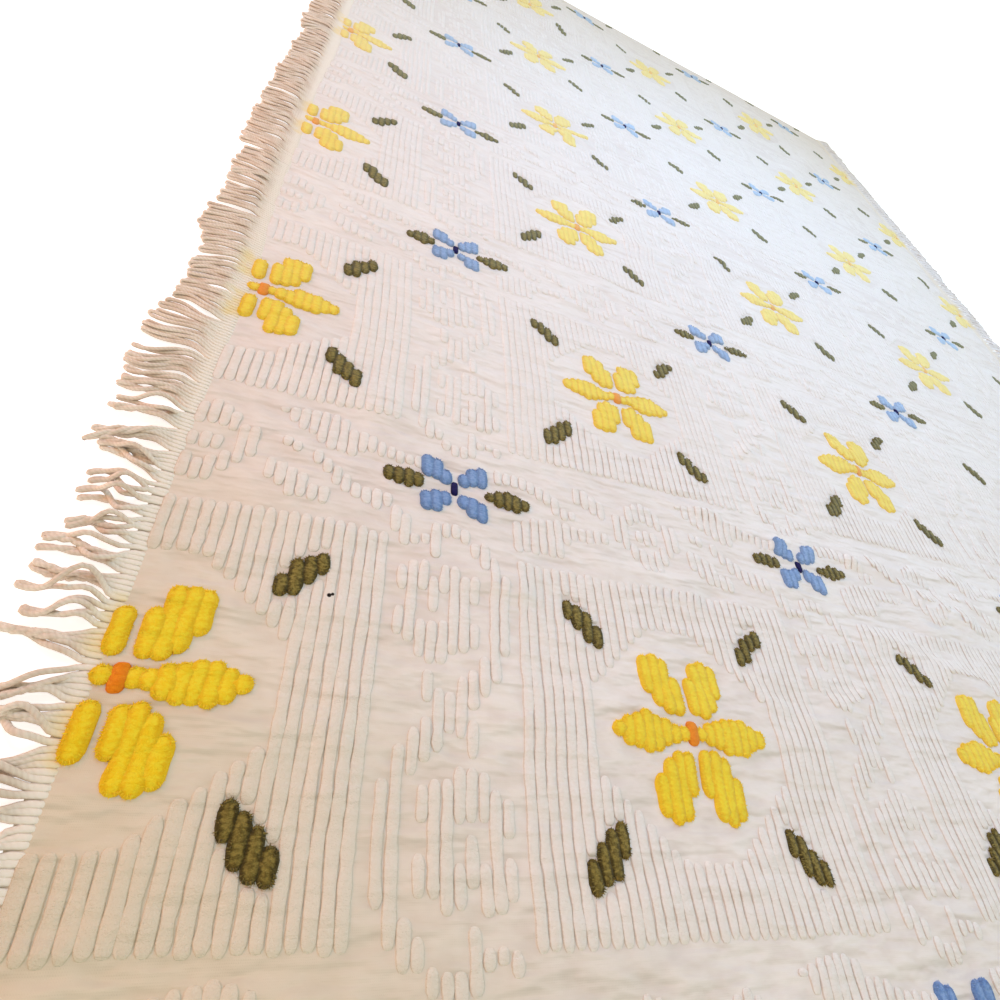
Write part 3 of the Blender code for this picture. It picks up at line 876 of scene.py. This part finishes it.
def fringe(name, side, seed, sides, leg_steps, tip_steps, pale, deep, shade, node):
    """All the loops of one side as one mesh: an ellipse with its own two half-widths at each step,
    carried along each loop's line and closed by a point at both ends."""
    out, y, z, wide, thick = loop_lines(leg_steps, tip_steps, seed)
    x = side * (WIDTH / 2 + out)
    on_cloth = np.clip(x, -WIDTH / 2, WIDTH / 2)
    line = np.stack([x + laid_out(on_cloth, y)[0] - on_cloth, y, z], -1)
    ahead = np.gradient(line, axis=1)
    ahead /= np.linalg.norm(ahead, axis=-1, keepdims=True)
    beside = np.cross(ahead, [0.0, 0.0, 1.0])
    beside /= np.linalg.norm(beside, axis=-1, keepdims=True)
    above = np.cross(beside, ahead)
    k = np.arange(sides)
    round_it = 2 * np.pi * k / sides
    loops, steps = y.shape
    ring = line[:, :, None] + beside[:, :, None] * (wide[:, :, None] * np.cos(round_it))[..., None]
    ring = ring + above[:, :, None] * (thick[:, :, None] * np.sin(round_it))[..., None]
    ring[..., 2] = np.maximum(ring[..., 2], 0.0001)
    ends = line[:, [0, -1]] - ahead[:, [0, -1]] * 0.0006 * np.array([1, -1])[None, :, None]
    points = np.concatenate([ring.reshape(-1, 3), ends.reshape(-1, 3)])
    number = np.arange(loops * steps * sides).reshape(loops, steps, sides)
    after = np.roll(number, -1, axis=2)
    tips = loops * steps * sides + np.arange(loops * 2).reshape(loops, 2)
    quads = faces_of(number[:, 1:], after[:, 1:], after[:, :-1], number[:, :-1])
    start_fan = faces_of(number[:, 0], after[:, 0], tips[:, :1])
    fans = np.concatenate([start_fan, faces_of(after[:, -1], number[:, -1], tips[:, 1:])])
    # Two maps: metres along the cord with the share round it, and a tidy strip for each loop.
    steps_long = np.linalg.norm(np.diff(line, axis=1), axis=-1)
    along = np.concatenate([np.zeros((loops, 1)), np.cumsum(steps_long, axis=1)], 1)
    cell_u, cell_v, cell_wide, cell_high = map_cells(loops, 9)
    strip = cell_u + cell_wide * (0.03 + 0.94 * along / along[:, -1:])
    band, tall = cell_v[:, :, None] + cell_high * 0.05, cell_high * 0.90
    maps = {}
    for key, run, low_edge, high_edge in (
        ("Cord", along, k[None, None] / sides, (k[None, None] + 1) / sides),
        ("OFBake", strip, band + tall * k / sides, band + tall * (k + 1) / sides),
    ):
        a, b = run[:, :-1, None], run[:, 1:, None]
        middle = (low_edge + high_edge)[:, 0] / 2
        first, last, low, high = run[:, :1], run[:, -1:], low_edge[:, 0], high_edge[:, 0]
        faces = [
            corners_of((b, low_edge), (b, high_edge), (a, high_edge), (a, low_edge)),
            corners_of((first, low), (first, high), (first, middle)),
            corners_of((last, high), (last, low), (last, middle)),
        ]
        maps[key] = np.concatenate(faces)
    piece = make_piece(name, points, [quads, fans], maps)
    material, start, place = new_finish(name + "_cord")
    run, around = start.make("ShaderNodeUVMap", {"uv_map": "Cord"}, out="UV").split()
    place_x, place_y = place.split()
    ply = (run * (2 * np.pi / PLY_TURN * 2) + around * (4 * np.pi)).sum_of("SINE") * 0.5 + 0.5
    above_it = (around * (2 * np.pi)).sum_of("SINE")
    fibres = start.noise(place, 900.0, rough=0.6)
    patches = start.noise(place, 60.0)
    off_cloth = abs(place_x).kept(WIDTH / 2 - 0.004, WIDTH / 2 + 0.012)
    colour = start.mixed(patches.kept(0.35, 0.70), pale, deep)
    colour = start.mixed(off_cloth, dye(250, 241, 229), colour)
    # Beside each edge flower the petals' yellow tufts come up between the sewn-down strands.
    from_flower = abs((place_y * (1 / REPEAT_ALONG) + 3.11).sum_of("FRACT") - 0.5)
    petals = from_flower.kept(0.020, 0.045) * (1 - from_flower.kept(0.125, 0.150))
    petals = petals * patches.kept(0.25, 0.60)
    colour = start.mixed((1 - off_cloth) * petals * 0.40, colour, dye(250, 218, 84))
    # Painted shade in the grooves between the plies, with a little fibre mottling.
    groove_shade = (1 - ply.kept(0.0, 0.75)) * 0.20 + fibres.kept(0.4, 0.8) * 0.08
    colour = start.mixed(groove_shade * (off_cloth * 0.85 + 0.15), colour, dye(196, 172, 152))
    # Painted shade: the cord's underside darkened towards the shade colour, most close to the cloth's
    # edge.
    by_edge = 1 - abs(place_x).kept(WIDTH / 2 + 0.008, WIDTH / 2 + 0.034)
    under = 1 - above_it.kept(-0.60, 0.50)
    colour = start.mixed(under * off_cloth * (by_edge * 0.35 + 0.52), colour, shade)
    height = (ply + fibres * 0.3) * (off_cloth * 0.8 + 0.2)
    values = {"Base Color": colour, "Roughness": 0.92, "Normal": start.bump(height, 0.35, 0.0006)}
    put_on(piece, material, start, values | {"Sheen Weight": 0.1, "Specular IOR Level": 0.15})
    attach(piece, "root")
    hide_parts(node)
    return piece


left_fringe = fringe(
    "left_fringe", side=-1, seed=101, sides=6, leg_steps=11, tip_steps=4,
    pale=dye(243, 230, 216), deep=dye(228, 210, 193), shade=dye(140, 112, 92), node="fringe_left",
)
# The same cord as on the left, painted paler and cooler on this side for the cool light that falls on it,
# with lighter painted shade.
right_fringe = fringe(
    "right_fringe", side=1, seed=202, sides=4, leg_steps=5, tip_steps=3,
    pale=dye(250, 247, 246), deep=dye(242, 238, 236), shade=dye(196, 188, 184), node="fringe_right",
)

# ----------------------------------------
# The room: a plain white floor that curves up all round, two cool window-like lights from above
# the far left of the cloth, a weak warm one beside its near left corner, and the camera.
FLOOR_FLAT, FLOOR_OUT, FLOOR_RISE = 14.0, 22.0, 7.0


def floor_sweep(turn, out):
    """The floor as a wide dish: flat round the cloth, then rising in a quarter curve."""
    bend = np.clip((out - FLOOR_FLAT) / (FLOOR_OUT - FLOOR_FLAT), 0, 1)
    lift = FLOOR_RISE * (1 - np.sqrt(1 - bend**2)) - 0.0004
    return np.stack([out * np.cos(turn), out * np.sin(turn), lift], -1)


turns, outs = np.meshgrid(
    np.linspace(0, 2 * np.pi, 97)[:-1],
    np.concatenate([[0.5, 4.0, FLOOR_FLAT], np.linspace(FLOOR_FLAT, FLOOR_OUT, 14)[1:]]),
    indexing="ij",
)
dish = np.arange(turns.size).reshape(turns.shape)
next_turn = np.roll(dish, -1, axis=0)
faces = [faces_of(dish[:, :-1], dish[:, 1:], next_turn[:, 1:], next_turn[:, :-1]), dish[:, 0][None, :]]
floor = make_piece("floor", floor_sweep(turns, outs).reshape(-1, 3), faces, {})
paint, start, place = new_finish("white_floor")
values = {"Base Color": (0.90, 0.90, 0.90, 1.0), "Roughness": 0.9, "Specular IOR Level": 0.1}
values |= {"Emission Color": (1.0, 1.0, 1.0, 1.0), "Emission Strength": 0.62}
put_on(floor, paint, start, values)

world = bpy.data.worlds.new("room")
bpy.context.scene.world = world
world.use_nodes = True
sky = world.node_tree.nodes["Background"].inputs
sky["Color"].default_value = (1.0, 0.985, 0.783, 1.0)
sky["Strength"].default_value = 0.594


def point_at(thing, position, target, roll=0.0):
    """Puts a light or a camera in place, its -Z towards a target: two cross products give its axes,
    and the roll turns them."""
    back = np.subtract(position, target)
    back = back / np.linalg.norm(back)
    right = np.cross([0.0, 0.0, 1.0], back)
    right = right / np.linalg.norm(right)
    up = np.cross(back, right)
    c, s = np.cos(roll), np.sin(roll)
    matrix = np.eye(4)
    matrix[:3] = np.stack([c * right + s * up, c * up - s * right, back, position], -1)
    thing.matrix_world = Matrix(matrix.tolist())


SPOT_WIDE, SPOT_BLEND = np.radians(71), 0.88


def lamp(name, kind, position, target, size, watts, colour):
    """A soft light, pointed at its target: a round spot with a blended edge, or a square."""
    light = bpy.data.lights.new(name, kind)
    if kind == "SPOT":
        light.spot_size, light.spot_blend = SPOT_WIDE, SPOT_BLEND
        light.shadow_soft_size = size
    else:
        light.shape, light.size = "SQUARE", size
    light.energy, light.color = watts, colour
    holder = bpy.data.objects.new(name, light)
    bpy.context.scene.collection.objects.link(holder)
    holder.visible_camera = False
    point_at(holder, position, target)


lamp("window_light", "SPOT", (-0.46, 0.83, 3.0), (0.52, -0.26, 0.0), 0.80, 273, (0.322, 0.579, 1.0))
lamp("warm_lamp", "AREA", (-2.2, -0.6, 1.0), (-1.0, -0.9, 0.0), 0.8, 9.7, (1.0, 0.20, 0.02))
lamp("far_window", "SPOT", (-0.75, 1.15, 2.6), (-0.25, 0.45, 0.0), 0.8, 74, (0.405, 0.595, 1.0))

EYE = (-0.8395, -1.2940, 0.4469)
HEADING, DIP, ROLL = np.radians([29.048, 46.678, 34.623])
FILM_WIDE, FOCAL_LENGTH = 36.0, 21.315  # mm
NEAREST, FARTHEST = 0.02, 300.0
toward = np.array([np.sin(HEADING) * np.cos(DIP), np.cos(HEADING) * np.cos(DIP), -np.sin(DIP)])
camera = bpy.data.objects.new("camera", bpy.data.cameras.new("camera"))
camera.data.sensor_width, camera.data.lens = FILM_WIDE, FOCAL_LENGTH
camera.data.clip_start, camera.data.clip_end = NEAREST, FARTHEST
bpy.context.scene.collection.objects.link(camera)
point_at(camera, EYE, EYE + toward, ROLL)
bpy.context.scene.camera = camera
bpy.context.scene.view_settings.view_transform = "Standard"
